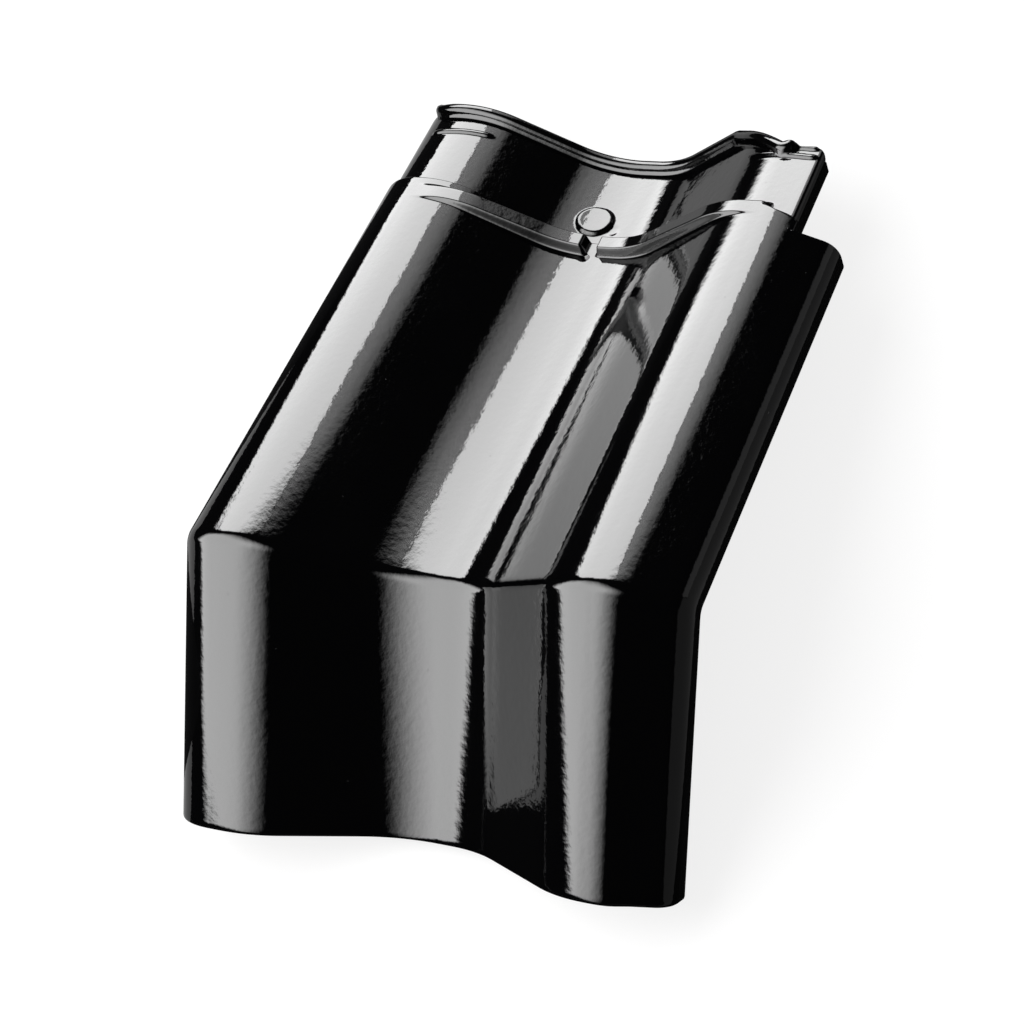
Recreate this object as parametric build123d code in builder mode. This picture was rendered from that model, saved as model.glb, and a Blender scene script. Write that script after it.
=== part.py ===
from build123d import *
import os
from math import atan2, cos, degrees, radians, sin, tan

# A pressed and glazed clay verge tile with a roll on both sides. A kink across its middle lets it
# pass over the break of a mansard roof: the upper leg lies on the slope, the skirt hangs below it.
# All sizes are in millimetres. While it is modelled, X runs across the tile to the right, Y up the
# slope to the head and Z out of the roof. The origin is on the left crest, at the kink.

# The wave, across the tile
cover_width = 206.0  # from crest to crest
left_overhang = 28.0  # left crest to the outside of the left flank
right_overhang = 40.3  # right crest to the outside of the right lip
pan_depth = 37.8  # pan floor below the crests
left_crest_half = 16.8  # crest to where its fall would start without a rounding
fall_run = 66.8  # width of the slope from the left roll to the pan
rise_run = 62.0  # width of the slope from the pan to the right roll
right_crest_half = 17.6
crown_run = 8.0  # right crest to where the crown starts to fall
crown_drop = 13.5  # fall of the crown at the outside of the lip
lip_depth = 30.0  # lower edge of the right lip below the crests
wall = 12.0
left_flank_radius = 22.0
left_crest_radius = 64.0
pan_left_radius = 79.0
pan_right_radius = 50.0
right_crest_radius = 51.0
crown_radius = 40.0
shoulder_radius = 12.5
edge_round = 2.5

# Along the tile
kink_angle = 50.0
kink_radius = 9.0
kink_facets = 6
upper_length = 318.0  # kink to head, at the crests
skirt_length = 151.7  # kink to tail, at the crests
skirt_flare = 5.5  # the skirt's left flank leans out by this much at the tail
body_length = 259.0  # kink to where the head lap begins on the left
body_end_skew = 9.0  # the head lap begins this much lower on the right
flank_length = 236.0  # kink to the upper end of the right flank

# The head lap, which the next tile covers
lap_step = 3.0  # its face lies this much below the body's
lap_inset = 2.3  # its left side stands this much inside the body's
lap_overhang = 18.0  # right crest to its right side
lap_side_radius = 4.0
body_end_slant = 7.0  # and runs down this much more past the right crest
notch_depth = 22.0  # the right corner of the head is cut back this far
notch_slant = 33.0  # width of the slanted side of that cut
notch_inset = 5.0  # right crest to the lower end of the slant
notch_corner_radius = 5.5

# Ribs, boss and bars on the face
head_rib_width = 7.5
head_rib_height = 5.5
head_rib_left = 12.5  # left crest to its left end
pan_rib_y = 243.0  # its lower side
pan_rib_width = 10.0
pan_rib_height = 6.0
pan_rib_start = 8.0  # where its slope starts, outside the roll's own slope
drain_gap = 8.0  # lets water through the lower rib
drain_gap_x = 98.6
boss_radius = 10.0
boss_height = 2.0
boss_x = 90.2
boss_setback = 47.5  # head to the middle of the boss
bar_width = 2.8
bar_height = 1.4
left_bar_length = 34.0
left_bar_x = 6.0
left_bar_setback = 18.5  # head to the middle of the left bar
left_bar_turn = 5.0
right_bar_length = 27.0
right_bar_setback = 2.0  # edge of the notch to the first of the two bars on the right roll
right_bar_step = 10.0  # the second bar is longer than the first
right_bar_turn = -3.0
bar_pitch = 5.0

# The underside
nib_width = 20.0
nib_thickness = 14.0
nib_height = 14.0  # below the underside of the pan
nib_setback = 32.0  # head to the upper face of the nibs
nib_spacing = 50.0
nib_draft = 8.0

# Sizes that follow from those above
underside = pan_depth + wall
right_crest = cover_width
pan_left = left_crest_half + fall_run
pan_right = cover_width - right_crest_half - rise_run
left_side = -left_overhang
right_side = cover_width + right_overhang
pan_middle = (pan_left + pan_right) / 2
lap_side = right_crest + lap_overhang
lap_left = left_side + lap_inset
notch_edge = upper_length - notch_depth
pan_rib_back = pan_rib_y + pan_rib_width
margin = 20.0  # cutting shapes stand this far clear of the tile
half_kink = radians(kink_angle / 2)
bend_run = kink_radius * tan(half_kink)
up = Vector(0, 1, 0)
down = Vector(0, -cos(radians(kink_angle)), -sin(radians(kink_angle)))


def fitted(corners, radii):
    """The roundings of a line's corners, limited by the runs between the corners."""
    fits = []
    for before, corner, after, radius in zip(corners, corners[1:], corners[2:], radii):
        run_in = Vector(*corner) - Vector(*before)
        run_out = Vector(*after) - Vector(*corner)
        room = 0.49 * min(run_in.length, run_out.length)
        fits.append(min(radius, room / tan(radians(run_in.get_angle(run_out)) / 2)))
    return fits


def wave(drop, left, right_end):
    """Corners and roundings of the face: a wave that is carried on down both sides."""
    corners = [
        (left, -underside),
        (left, -drop),
        (left_crest_half, -drop),
        (pan_left, -pan_depth - drop),
        (pan_right, -pan_depth - drop),
        (right_crest - right_crest_half, -drop),
    ]
    roundings = [
        left_flank_radius,
        left_crest_radius,
        pan_left_radius,
        pan_right_radius,
        right_crest_radius,
    ]
    return corners + right_end, roundings


def body_section(plane, flare=0):
    """The tile's wall, cut square across a leg, with its left flank moved out by the flare."""
    flank = left_side - flare
    crown_end = [
        (right_crest + crown_run, 0),
        (right_side, -crown_drop),
        (right_side, -lip_depth),
    ]
    corners, roundings = wave(0, flank, crown_end)
    with BuildSketch(plane) as section:
        with BuildLine():
            FilletPolyline(*corners, radius=fitted(corners, roundings + [crown_radius, shoulder_radius]))
            offset(amount=wall, side=Side.RIGHT, closed=True)
        make_face()
        for side in (flank, right_side - wall):
            side_corners = section.vertices().filter_by_position(Axis.X, side - 1, side + wall + 1)
            fillet(side_corners.sort_by(Axis.Y)[:2], edge_round)
    return section.sketch


def lap_outline(plane, raised=0):
    """Everything under the face of the head lap, or under that face raised by a rib."""
    corners, roundings = wave(lap_step, lap_left, [(lap_side, -lap_step), (lap_side, -underside)])
    with BuildSketch(plane) as outline:
        with BuildLine():
            FilletPolyline(*corners, radius=fitted(corners, roundings + [lap_side_radius]))
            Line(corners[-1], corners[0])
        make_face()
        if raised:
            offset(amount=raised)
    return outline.sketch


def on_lap(height, plan):
    """A rib on the face of the head lap, raised by height over the area of the plan."""
    sunk = wall / 5
    foot = Location((0, 0, -pan_depth - lap_step - sunk))
    with BuildPart() as rib:
        extrude(lap_outline(lap_start, height), amount=-lap_reach)
        extrude(lap_outline(lap_start, -sunk), amount=-lap_reach, mode=Mode.SUBTRACT)
        extrude(plan.moved(foot), amount=underside + margin, mode=Mode.INTERSECT)
    return rib.part


# The leg's wall is cut by the plane that halves the kink, and that cut is carried on round the
# kink. Every point across the tile so turns through the same small radius. From there the skirt
# runs straight to the tail, while its left flank leans out.
kink_plane = Plane(origin=up * bend_run, x_dir=(1, 0, 0), z_dir=(0, cos(half_kink), sin(half_kink)))
tail_plane = Plane(origin=down * skirt_length, x_dir=(1, 0, 0), z_dir=tuple(down))
facet_turn = kink_angle / kink_facets
facet_length = 2 * kink_radius * sin(radians(facet_turn / 2))
with BuildPart() as shell:
    extrude(body_section(Plane.XZ.offset(underside)), amount=-(underside + upper_length))
    split(bisect_by=kink_plane, keep=Keep.TOP)
    kink_cut = shell.faces().sort_by(Axis((0, 0, 0), tuple(kink_plane.z_dir)))[0]
    start = Vector(0, 0, 0)
    for facet in range(kink_facets):
        turn = radians(facet_turn * (facet + 0.5))
        heading = Vector(0, -cos(turn), -sin(turn))
        extrude(kink_cut.moved(Location(start)), amount=facet_length, dir=heading)
        start = start + heading * facet_length
    loft([kink_cut.moved(Location(start)), body_section(tail_plane, skirt_flare).face()], ruled=True)

# The head lap is lower than the body and narrower on the right, where the body's crown ends on
# a slant and its flank ends further down. Between the rolls the body ends with the lower rib.
lap_start = Plane.XZ.offset(-flank_length)
lap_reach = upper_length - flank_length
with BuildPart() as lap_waste:
    with BuildSketch(lap_start) as around_lap:
        with Locations(((left_side + right_side) / 2, -underside / 2)):
            Rectangle(right_side - left_side + 2 * margin, underside + 2 * margin)
        add(lap_outline(Plane.XY), mode=Mode.SUBTRACT)
    extrude(amount=-(lap_reach + margin))
    with BuildSketch() as lap_plan:
        with BuildLine():
            Polyline(
                (left_side - margin, body_length),
                (left_crest_half + 2 * pan_rib_start, body_length),
                (left_crest_half + 3 * pan_rib_start, pan_rib_back),
                (right_crest - right_crest_half - 2 * pan_rib_start, pan_rib_back),
                (right_crest, body_length - body_end_skew),
                (lap_side, body_length - body_end_skew - body_end_slant),
                (lap_side, flank_length),
                (right_side + margin, flank_length),
                (right_side + margin, upper_length + margin),
                (left_side - margin, upper_length + margin),
                close=True,
            )
        make_face()
    extrude(amount=underside + margin, both=True, mode=Mode.INTERSECT)

# The right corner of the head is cut back, so that four tiles can meet there.
head_end = [
    (right_crest - notch_inset - notch_slant, upper_length),
    (right_crest - notch_inset, notch_edge),
]
with BuildSketch() as notch:
    with BuildLine():
        corner_path = FilletPolyline(
            head_end[1],
            (lap_side, notch_edge),
            (lap_side, notch_edge - margin),
            radius=notch_corner_radius,
        )
        Polyline(
            corner_path @ 1,
            (lap_side + margin, notch_edge - margin),
            (lap_side + margin, upper_length + margin),
            (head_end[0][0], upper_length + margin),
            *head_end,
        )
    make_face()

# The head rib follows the head's edge and the slant, and its lower side runs parallel to them.
with BuildSketch() as head_rib_plan:
    with BuildLine():
        Polyline((-head_rib_left, upper_length), *head_end)
        offset(amount=head_rib_width, side=Side.RIGHT, closed=True)
    make_face()

with BuildSketch() as bar_plan:
    with Locations((left_bar_x, upper_length - left_bar_setback)):
        SlotOverall(left_bar_length, bar_width, rotation=left_bar_turn)
    for bar in (0, 1):
        length = right_bar_length + bar * right_bar_step
        bar_y = notch_edge - right_bar_setback - bar * bar_pitch
        with Locations((lap_side - lap_side_radius - length / 2, bar_y)):
            SlotOverall(length, bar_width, rotation=right_bar_turn)

# A plain round boss stands in the pan of the head lap.
with BuildSketch() as boss_plan:
    with Locations((boss_x, upper_length - boss_setback)):
        Circle(boss_radius)

with BuildPart() as tile:
    add(shell.part)
    add(lap_waste.part, mode=Mode.SUBTRACT)
    add(on_lap(head_rib_height, head_rib_plan.sketch))
    add(on_lap(bar_height, bar_plan.sketch))
    add(on_lap(boss_height, boss_plan.sketch))
    extrude(notch.sketch, amount=underside + margin, both=True, mode=Mode.SUBTRACT)

    # The lower rib closes the body's upper end between the rolls and runs out on their crests.
    rib_corners = [
        (0, 0),
        (left_crest_half + pan_rib_start, 0),
        (pan_left + pan_rib_start / 2, pan_rib_height - pan_depth),
        (pan_right - pan_rib_start / 2, pan_rib_height - pan_depth),
        (right_crest - right_crest_half - pan_rib_start, 0),
        (right_crest, 0),
    ]
    rib_roundings = [left_crest_radius, pan_left_radius, pan_right_radius, right_crest_radius]
    with BuildSketch(Plane.XZ.offset(-pan_rib_y)) as pan_rib:
        with BuildLine():
            FilletPolyline(*rib_corners, radius=fitted(rib_corners, rib_roundings))
            offset(amount=pan_rib_height + wall / 4, side=Side.RIGHT, closed=True)
        make_face()
    extrude(amount=-pan_rib_width)
    with Locations((drain_gap_x, pan_rib_y + pan_rib_width / 2, margin - pan_depth)):
        Box(drain_gap, 2 * pan_rib_width, 2 * margin, mode=Mode.SUBTRACT)

    # Two nibs on the underside hook behind the batten.
    with BuildSketch(Plane.XY.offset(-underside + wall / 3)) as nibs:
        with Locations((pan_middle, upper_length - nib_setback - nib_thickness / 2)):
            with GridLocations(nib_spacing, 1, 2, 1):
                RectangleRounded(nib_width, nib_thickness, edge_round)
    extrude(amount=-(nib_height + wall / 3), taper=nib_draft)

# The finished tile stands unheld on its nibs and on the lower edge of its skirt, head to +Y. The
# origin moves to the floor, below the middle of the tile.
tail_foot = down * skirt_length + Vector(0, sin(radians(kink_angle)), -cos(radians(kink_angle))) * underside
nib_foot = Vector(0, upper_length - nib_setback, -underside - nib_height)
lean = degrees(atan2(nib_foot.Z - tail_foot.Z, nib_foot.Y - tail_foot.Y))
stood = Rot(X=-lean) * tile.part
box = stood.bounding_box()
with BuildPart() as verge_tile:
    with Locations((-box.center().X, -box.center().Y, -box.min.Z)):
        add(stood)

os.makedirs("parts", exist_ok=True)
verge_tile.part.label = "verge_tile"
export_step(verge_tile.part, "parts/verge_tile.step")
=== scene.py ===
import logging
import math
from dataclasses import dataclass
from enum import Enum

import bpy
import numpy as np
from mathutils import Matrix, Vector


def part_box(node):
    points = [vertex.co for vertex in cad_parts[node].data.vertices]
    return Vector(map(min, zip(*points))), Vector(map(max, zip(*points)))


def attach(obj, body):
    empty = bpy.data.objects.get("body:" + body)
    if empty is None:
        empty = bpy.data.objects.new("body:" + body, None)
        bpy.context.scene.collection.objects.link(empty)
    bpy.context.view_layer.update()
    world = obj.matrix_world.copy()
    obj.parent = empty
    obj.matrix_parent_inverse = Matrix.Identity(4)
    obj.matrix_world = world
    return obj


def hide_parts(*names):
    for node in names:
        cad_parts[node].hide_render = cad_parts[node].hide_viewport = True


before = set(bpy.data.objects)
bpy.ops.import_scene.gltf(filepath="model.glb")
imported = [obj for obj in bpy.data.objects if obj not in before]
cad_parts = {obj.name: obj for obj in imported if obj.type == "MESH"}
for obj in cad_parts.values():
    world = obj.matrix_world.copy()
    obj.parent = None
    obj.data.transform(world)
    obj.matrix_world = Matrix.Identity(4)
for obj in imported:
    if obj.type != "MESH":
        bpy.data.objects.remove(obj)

# A black glazed clay verge tile with a kink. It is worked out in its own frame, in millimetres:
# X runs across it to the right, Y up the slope to the head and Z out of the roof, with the
# origin on the left crest at the kink. It then stands on its nibs and its skirt's lower edge.
LOG = logging.getLogger("verge_tile")
MM = 0.001
Points = np.ndarray
Faces = list[list[int]]
Socket = bpy.types.NodeSocket


def smooth_step(distance: Points, width: float) -> Points:
    """A soft step from 0 to 1.

    Formula: t = distance / width + 1/2, held between 0 and 1, then 3 t^2 - 2 t^3.

    Args:
        distance: signed distance from the middle of the step.
        width: width of the step.

    Returns:
        Values from 0 to 1, one for each distance.
    """
    t = np.clip(distance / width + 0.5, 0.0, 1.0)
    return t * t * (3.0 - 2.0 * t)


def rounded_line(corners: list, radii: list, counts: list) -> tuple[Points, Points]:
    """Points and outward normals along a line with rounded corners.

    Formula: at each corner the two runs are cut back by radius * tan(turn / 2) and joined by an arc
    tangent to both. Runs and arcs are divided evenly, and the normal is the heading turned left.

    Args:
        corners: the line's corners, (x, z) in millimetres.
        radii: rounding of each corner between the first and the last.
        counts: divisions of run, arc, run, arc and so on to the last run.

    Returns:
        The points and their unit normals, both as (n, 2) arrays.
    """
    corner = np.array(corners, float)
    run = np.diff(corner, axis=0)
    heading = run / np.linalg.norm(run, axis=1)[:, None]
    side = np.stack([-heading[:, 1], heading[:, 0]], axis=1)
    cross = heading[:-1, 0] * heading[1:, 1] - heading[:-1, 1] * heading[1:, 0]
    turn = np.arctan2(cross, (heading[:-1] * heading[1:]).sum(axis=1))
    cut = np.abs(np.array(radii, float) * np.tan(turn / 2))
    points, normals = [corner[:1]], [side[:1]]
    start = corner[0]
    for k in range(len(run)):
        end = corner[k + 1] - heading[k] * (cut[k] if k < len(cut) else 0.0)
        t = np.linspace(0, 1, counts[2 * k] + 1)[1:, None]
        points.append(start + (end - start) * t)
        normals.append(np.repeat(side[k : k + 1], counts[2 * k], axis=0))
        if k < len(cut):
            way = math.copysign(1.0, turn[k])
            centre = end + side[k] * radii[k] * way
            angle = turn[k] * np.linspace(0, 1, counts[2 * k + 1] + 1)[1:]
            c, s = np.cos(angle)[:, None], np.sin(angle)[:, None]
            normal = side[k] * c - heading[k] * s
            points.append(centre - normal * radii[k] * way)
            normals.append(normal)
            start = points[-1][-1]
    return np.concatenate(points), np.concatenate(normals)


def fill(a: Points, b: Points, count: int) -> list[Points]:
    """Rows evenly between row a and row b, both left out."""
    return [a + (b - a) * t for t in np.linspace(0, 1, count + 2)[1:-1]]


def rings_to_faces(table: Points) -> Faces:
    """Quads between neighbouring closed rings, each a row of vertex numbers."""
    ahead = np.roll(table, -1, axis=1)
    quads = np.stack([table[:-1], ahead[:-1], ahead[1:], table[1:]], axis=2)
    return quads.reshape(-1, 4).tolist()


def make_piece(
    name: str, points: Points, faces: Faces, attributes: dict[str, Points] | None = None
) -> bpy.types.Object:
    """Makes a smooth mesh object with its place in its mesh.

    Args:
        name: the piece's name.
        points: its vertices in metres, in the shared frame.
        faces: its faces as lists of vertex numbers.
        attributes: float values for each vertex, by name.

    Returns:
        The new object, linked to the scene.
    """
    mesh = bpy.data.meshes.new(name)
    mesh.from_pydata(points.tolist(), [], faces)
    for key, values in (attributes or {}).items():
        layer = mesh.attributes.new(key, "FLOAT", "POINT")
        layer.data.foreach_set("value", np.asarray(values, np.float32))
    mesh.polygons.foreach_set("use_smooth", np.ones(len(mesh.polygons), bool))
    mesh.update()
    piece = bpy.data.objects.new(name, mesh)
    bpy.context.scene.collection.objects.link(piece)
    LOG.info("%s: %d vertices, %d faces", name, len(points), len(faces))
    return piece


@dataclass(frozen=True)
class TileSizes:
    """Sizes of the tile, in millimetres and degrees."""

    cover_width: float = 206.0
    left_overhang: float = 30.0
    right_overhang: float = 40.3
    pan_depth: float = 37.8
    left_crest_half: float = 16.8
    fall_run: float = 66.8
    rise_run: float = 62.0
    right_crest_half: float = 17.6
    crown_run: float = 8.0
    crown_drop: float = 13.5
    lip_depth: float = 30.0
    wall: float = 12.0
    flank_radius: float = 27.0
    left_crest_radius: float = 64.0
    pan_left_radius: float = 79.0
    pan_right_radius: float = 50.0
    right_crest_radius: float = 51.0
    crown_radius: float = 40.0
    shoulder_radius: float = 12.2
    edge_round: float = 2.5
    kink_angle: float = 50.0
    kink_radius: float = 9.0
    upper_length: float = 318.0
    skirt_length: float = 151.7
    skirt_flare: float = 3.5
    skirt_taper: float = 3.5
    flare_from: float = 12.0
    flare_ramp: float = 14.0
    body_length: float = 259.0
    body_end_skew: float = 9.0
    body_end_slant: float = 7.0
    flank_length: float = 236.0
    lap_step: float = 3.0
    lap_inset: float = 1.2
    lap_overhang: float = 18.0
    lap_side_radius: float = 4.0
    notch_depth: float = 22.0
    notch_slant: float = 33.0
    notch_inset: float = 5.0
    notch_corner_radius: float = 5.5
    head_rib_width: float = 7.5
    head_rib_height: float = 5.5
    head_rib_left: float = -12.5
    head_rib_middle: float = 0.92
    pan_rib_y: float = 243.0
    pan_rib_width: float = 10.0
    pan_rib_height: float = 6.0
    pan_rib_start: float = 8.0
    pan_rib_soft: float = 2.4
    pan_rib_fade: float = 6.0
    drain_gap: float = 8.0
    drain_gap_x: float = 98.6
    boss_radius: float = 10.0
    boss_height: float = 2.0
    boss_x: float = 90.2
    boss_setback: float = 47.5
    bar_width: float = 2.8
    bar_height: float = 1.4
    nib_width: float = 20.0
    nib_thickness: float = 14.0
    nib_height: float = 14.0
    nib_setback: float = 32.0
    nib_spacing: float = 50.0
    nib_draft: float = 8.0

    @property
    def underside(self) -> float:
        """Depth of the pan's underside below the crests."""
        return self.pan_depth + self.wall

    @property
    def left_side(self) -> float:
        """Outside of the left flank."""
        return -self.left_overhang

    @property
    def right_side(self) -> float:
        """Outside of the right lip."""
        return self.cover_width + self.right_overhang

    @property
    def lap_side(self) -> float:
        """Right side of the head lap."""
        return self.cover_width + self.lap_overhang

    @property
    def pan_left(self) -> float:
        """Left end of the pan, before rounding."""
        return self.left_crest_half + self.fall_run

    @property
    def pan_right(self) -> float:
        """Right end of the pan, before rounding."""
        return self.cover_width - self.right_crest_half - self.rise_run

    @property
    def lean(self) -> float:
        """Angle by which the tile leans towards its head when it stands on nibs and skirt."""
        k = math.radians(self.kink_angle)
        deep = self.underside
        tail_y = -self.skirt_length * math.cos(k) + deep * math.sin(k)
        tail_z = -self.skirt_length * math.sin(k) - deep * math.cos(k)
        heel_y = self.upper_length - self.nib_setback
        return math.atan2(-deep - self.nib_height - tail_z, heel_y - tail_y)


@dataclass(frozen=True)
class HeadMarks:
    """Pressed bars on the head lap and dents in the face, in millimetres in the tile's own frame.

    A bar has two ends. A dent has its place, its radius and its depth.
    """

    bars: tuple[tuple, ...] = (
        ((-9.0, 298.4), (22.0, 300.9)),
        ((196.0, 296.4), (218.0, 294.8)),
        ((183.0, 291.4), (218.5, 288.4)),
    )
    dents: tuple[tuple, ...] = (
        (102.0, 265.5, 3.2, 0.35),
        (96.0, 241.3, 2.4, 0.3),
        (200.6, 96.8, 2.0, 0.12),
    )


class Part(Enum):
    """Stretches of the tile along its path."""

    LEG = "leg"
    KINK = "kink"
    SKIRT = "skirt"


class Standing:
    """Takes points from the tile's own frame to the shared frame."""

    # The dressed tile lies this far below the solid, so that it stays inside the solid's box.
    LOWERED = 0.02

    def __init__(self, sizes: TileSizes, low: Vector, high: Vector) -> None:
        """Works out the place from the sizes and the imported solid's box.

        Args:
            sizes: sizes of the tile.
            low: lowest corner of the solid's box, in metres.
            high: its highest corner.
        """
        k = math.radians(sizes.kink_angle)
        self.lean = sizes.lean
        self.x0 = (sizes.right_side + sizes.left_side - sizes.skirt_flare) / 2
        tail = [0, -sizes.skirt_length * math.cos(k), -sizes.skirt_length * math.sin(k)]
        heel = [0, sizes.upper_length - sizes.nib_setback, -sizes.underside - sizes.nib_height]
        self.y0 = self.turned(np.array([tail]))[0, 1] + (high.y - low.y) / MM / 2
        self.z0 = self.turned(np.array([heel]))[0, 2] + self.LOWERED

    def turned(self, points: Points) -> Points:
        """Points turned by the lean about the X axis."""
        c, s = math.cos(self.lean), math.sin(self.lean)
        x, y, z = points.T
        return np.stack([x, y * c + z * s, z * c - y * s], axis=1)

    def place(self, points: Points) -> Points:
        """Points in metres in the shared frame, from millimetres in the tile's own frame."""
        return (self.turned(points) - [self.x0, self.y0, self.z0]) * MM

    def direction(self, vector: tuple) -> Vector:
        """A direction in the shared frame."""
        return Vector(self.turned(np.array([vector], float))[0])


class TileShell:
    """The tile's wall: a wave carried up the leg, round the kink and down the skirt."""

    # Divisions of the face's runs and arcs, of the crown over the lap, and of the rest of the lip.
    FACE_COUNTS = [8, 22, 4, 18, 18, 44, 8, 16, 20, 16, 3]
    CROWN_COUNTS = [9, 6]
    LIP_COUNT = 27
    # Divisions of the fine line that the crown's and lip's columns are read from.
    FINE_COUNTS = [40, 160, 120, 160, 120]
    # The inside has one vertex for this many of the outside.
    SKIP = 3
    # Vertices across a flank's lower edge and down the lap's right side.
    EDGE, SIDE = 6, 7
    # Reach of the rounding at the tail and at the head, and depths of the rows over it.
    TAIL_ROUND, TAIL_ROWS = 2.0, (0.0, 0.25, 0.7, 1.3, 2.0)
    HEAD_ROUND, HEAD_ROWS = 1.2, (1.2, 0.85, 0.5, 0.2, 0.0)
    # Depths of the last rows below the end of the right flank.
    FLANK_ROWS = (1.4, 0.9, 0.5, 0.2, 0.0)
    # Rows on both sides of a step in the relief, and widths of a step up and of a soft outline.
    STEP_ROWS = (-1.4, -0.9, -0.5, -0.2, 0.2, 0.5, 0.9, 1.4)
    STEP, SOFT = 2.0, 1.6
    # Power of the head rib's rounded profile.
    BEAD = 2.4
    # How bare of glaze a flank's lower edge is.
    RIM_BARE = 0.6

    def __init__(self, sizes: TileSizes, marks: HeadMarks) -> None:
        """Works out the sections.

        Args:
            sizes: sizes of the tile.
            marks: its pressed bars and dents.
        """
        self.sizes = sizes
        self.marks = marks
        self.body, self.normal = self.body_line()
        self.lap, self.lap_normal = self.lap_line()
        self.last_lap = len(self.lap) - 1
        self.inner = (self.body - self.normal * sizes.wall)[:: self.SKIP]

    def wave(self, drop: float, left: float) -> tuple[Points, Points]:
        """The face from the foot of the left flank to the right crest.

        Formula: straight runs for the flank, both rolls, their slopes and the pan, lowered by drop,
        with each corner rounded.

        Args:
            drop: how far the face is lowered.
            left: where the left flank stands.

        Returns:
            Points and normals.
        """
        s = self.sizes
        corners = [
            (left, -s.underside + s.edge_round),
            (left, -drop),
            (s.left_crest_half, -drop),
            (s.pan_left, -s.pan_depth - drop),
            (s.pan_right, -s.pan_depth - drop),
            (s.cover_width - s.right_crest_half, -drop),
            (s.cover_width, -drop),
        ]
        rolls = [s.left_crest_radius, s.pan_left_radius, s.pan_right_radius, s.right_crest_radius]
        return rounded_line(corners, [s.flank_radius] + rolls, self.FACE_COUNTS)

    def lap_line(self) -> tuple[Points, Points]:
        """The face of the head lap, from its left flank to its rounded right side.

        Returns:
            Points and normals.
        """
        s = self.sizes
        face, face_normal = self.wave(s.lap_step, s.left_side + s.lap_inset)
        top, foot = -s.lap_step, -s.lap_step - s.lap_side_radius
        corners = [(s.cover_width, top), (s.lap_side, top), (s.lap_side, foot)]
        side, side_normal = rounded_line(corners, [s.lap_side_radius], self.CROWN_COUNTS + [1])
        line = np.concatenate([face, side[1:-1]])
        return line, np.concatenate([face_normal, side_normal[1:-1]])

    def body_line(self) -> tuple[Points, Points]:
        """The body's face, from the foot of its left flank to the foot of its right lip.

        Its columns over the head lap stand where the lap's columns do.

        Returns:
            Points and normals.
        """
        s = self.sizes
        face, face_normal = self.wave(0.0, s.left_side)
        corners = [
            (s.cover_width, 0.0),
            (s.cover_width + s.crown_run, 0.0),
            (s.right_side, -s.crown_drop),
            (s.right_side, -s.lip_depth + s.edge_round),
        ]
        radii = [s.crown_radius, s.shoulder_radius]
        line, line_normal = rounded_line(corners, radii, self.FINE_COUNTS)
        length = np.linalg.norm(np.diff(line, axis=0), axis=1)
        along = np.concatenate([[0.0], np.cumsum(length)])
        turn = np.linspace(0, math.pi / 2, self.CROWN_COUNTS[1] + 1)[1:]
        flat_end = s.lap_side - s.lap_side_radius
        flat = np.linspace(s.cover_width, flat_end, self.CROWN_COUNTS[0] + 1)[1:]
        over_lap = np.concatenate([flat, flat_end + s.lap_side_radius * np.sin(turn)])
        first = line[:, 0].searchsorted(s.lap_side - 1e-6)
        at = np.interp(over_lap, line[: first + 1, 0], along[: first + 1])
        rest = np.linspace(at[-1], along[-1], self.LIP_COUNT + 1)[1:]
        at = np.concatenate([at, rest])
        crown, normal = (
            np.stack([np.interp(at, along, values[:, k]) for k in (0, 1)], axis=1)
            for values in (line, line_normal)
        )
        normal /= np.linalg.norm(normal, axis=1)[:, None]
        return np.concatenate([face, crown]), np.concatenate([face_normal, normal])

    def edge(self, outer: Points, inner: Points) -> Points:
        """The lower edge of a flank, from its outside to its inside, with both corners rounded.

        Args:
            outer: where the outside ends.
            inner: where the inside ends.

        Returns:
            Points between the two, both left out.
        """
        r = self.sizes.edge_round
        way = math.copysign(r, inner[0] - outer[0])
        turn = np.linspace(0, math.pi / 2, self.EDGE // 2 + 1)[1:]
        over, down = way * (1 - np.cos(turn)), r * np.sin(turn)
        first = np.stack([outer[0] + over, outer[1] - down], axis=1)
        second = np.stack([inner[0] - over, inner[1] - down], axis=1)
        return np.concatenate([first, second[::-1]])

    def body_end(self, x: Points) -> Points:
        """Where the body's face ends and the head lap begins.

        Formula: a line through five points. Over the left roll it is straight, between the rolls it
        is drawn back to the upper side of the lower rib, and past the right crest it falls away.

        Args:
            x: places across the tile.

        Returns:
            The end's place up the tile at each.
        """
        s = self.sizes
        back = s.pan_rib_y + s.pan_rib_width
        low = s.body_length - s.body_end_skew
        places = [
            s.left_crest_half + 2 * s.pan_rib_start,
            s.left_crest_half + 3 * s.pan_rib_start,
            s.cover_width - s.right_crest_half - 2 * s.pan_rib_start,
            s.cover_width,
            s.lap_side,
        ]
        return np.interp(x, places, [s.body_length, back, back, low, low - s.body_end_slant])

    def head_end(self, x: Points) -> Points:
        """Where the head ends: straight, then slanted back to the cut corner, which is rounded.

        Args:
            x: places across the tile.

        Returns:
            The end's place up the tile at each.
        """
        s = self.sizes
        corner = s.cover_width - s.notch_inset
        low = s.upper_length - s.notch_depth
        slant = np.interp(x, [corner - s.notch_slant, corner], [s.upper_length, low])
        r = s.notch_corner_radius
        past = np.clip(x - (s.lap_side - r), 0.0, r)
        return slant - r + np.sqrt(r**2 - past**2)

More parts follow.
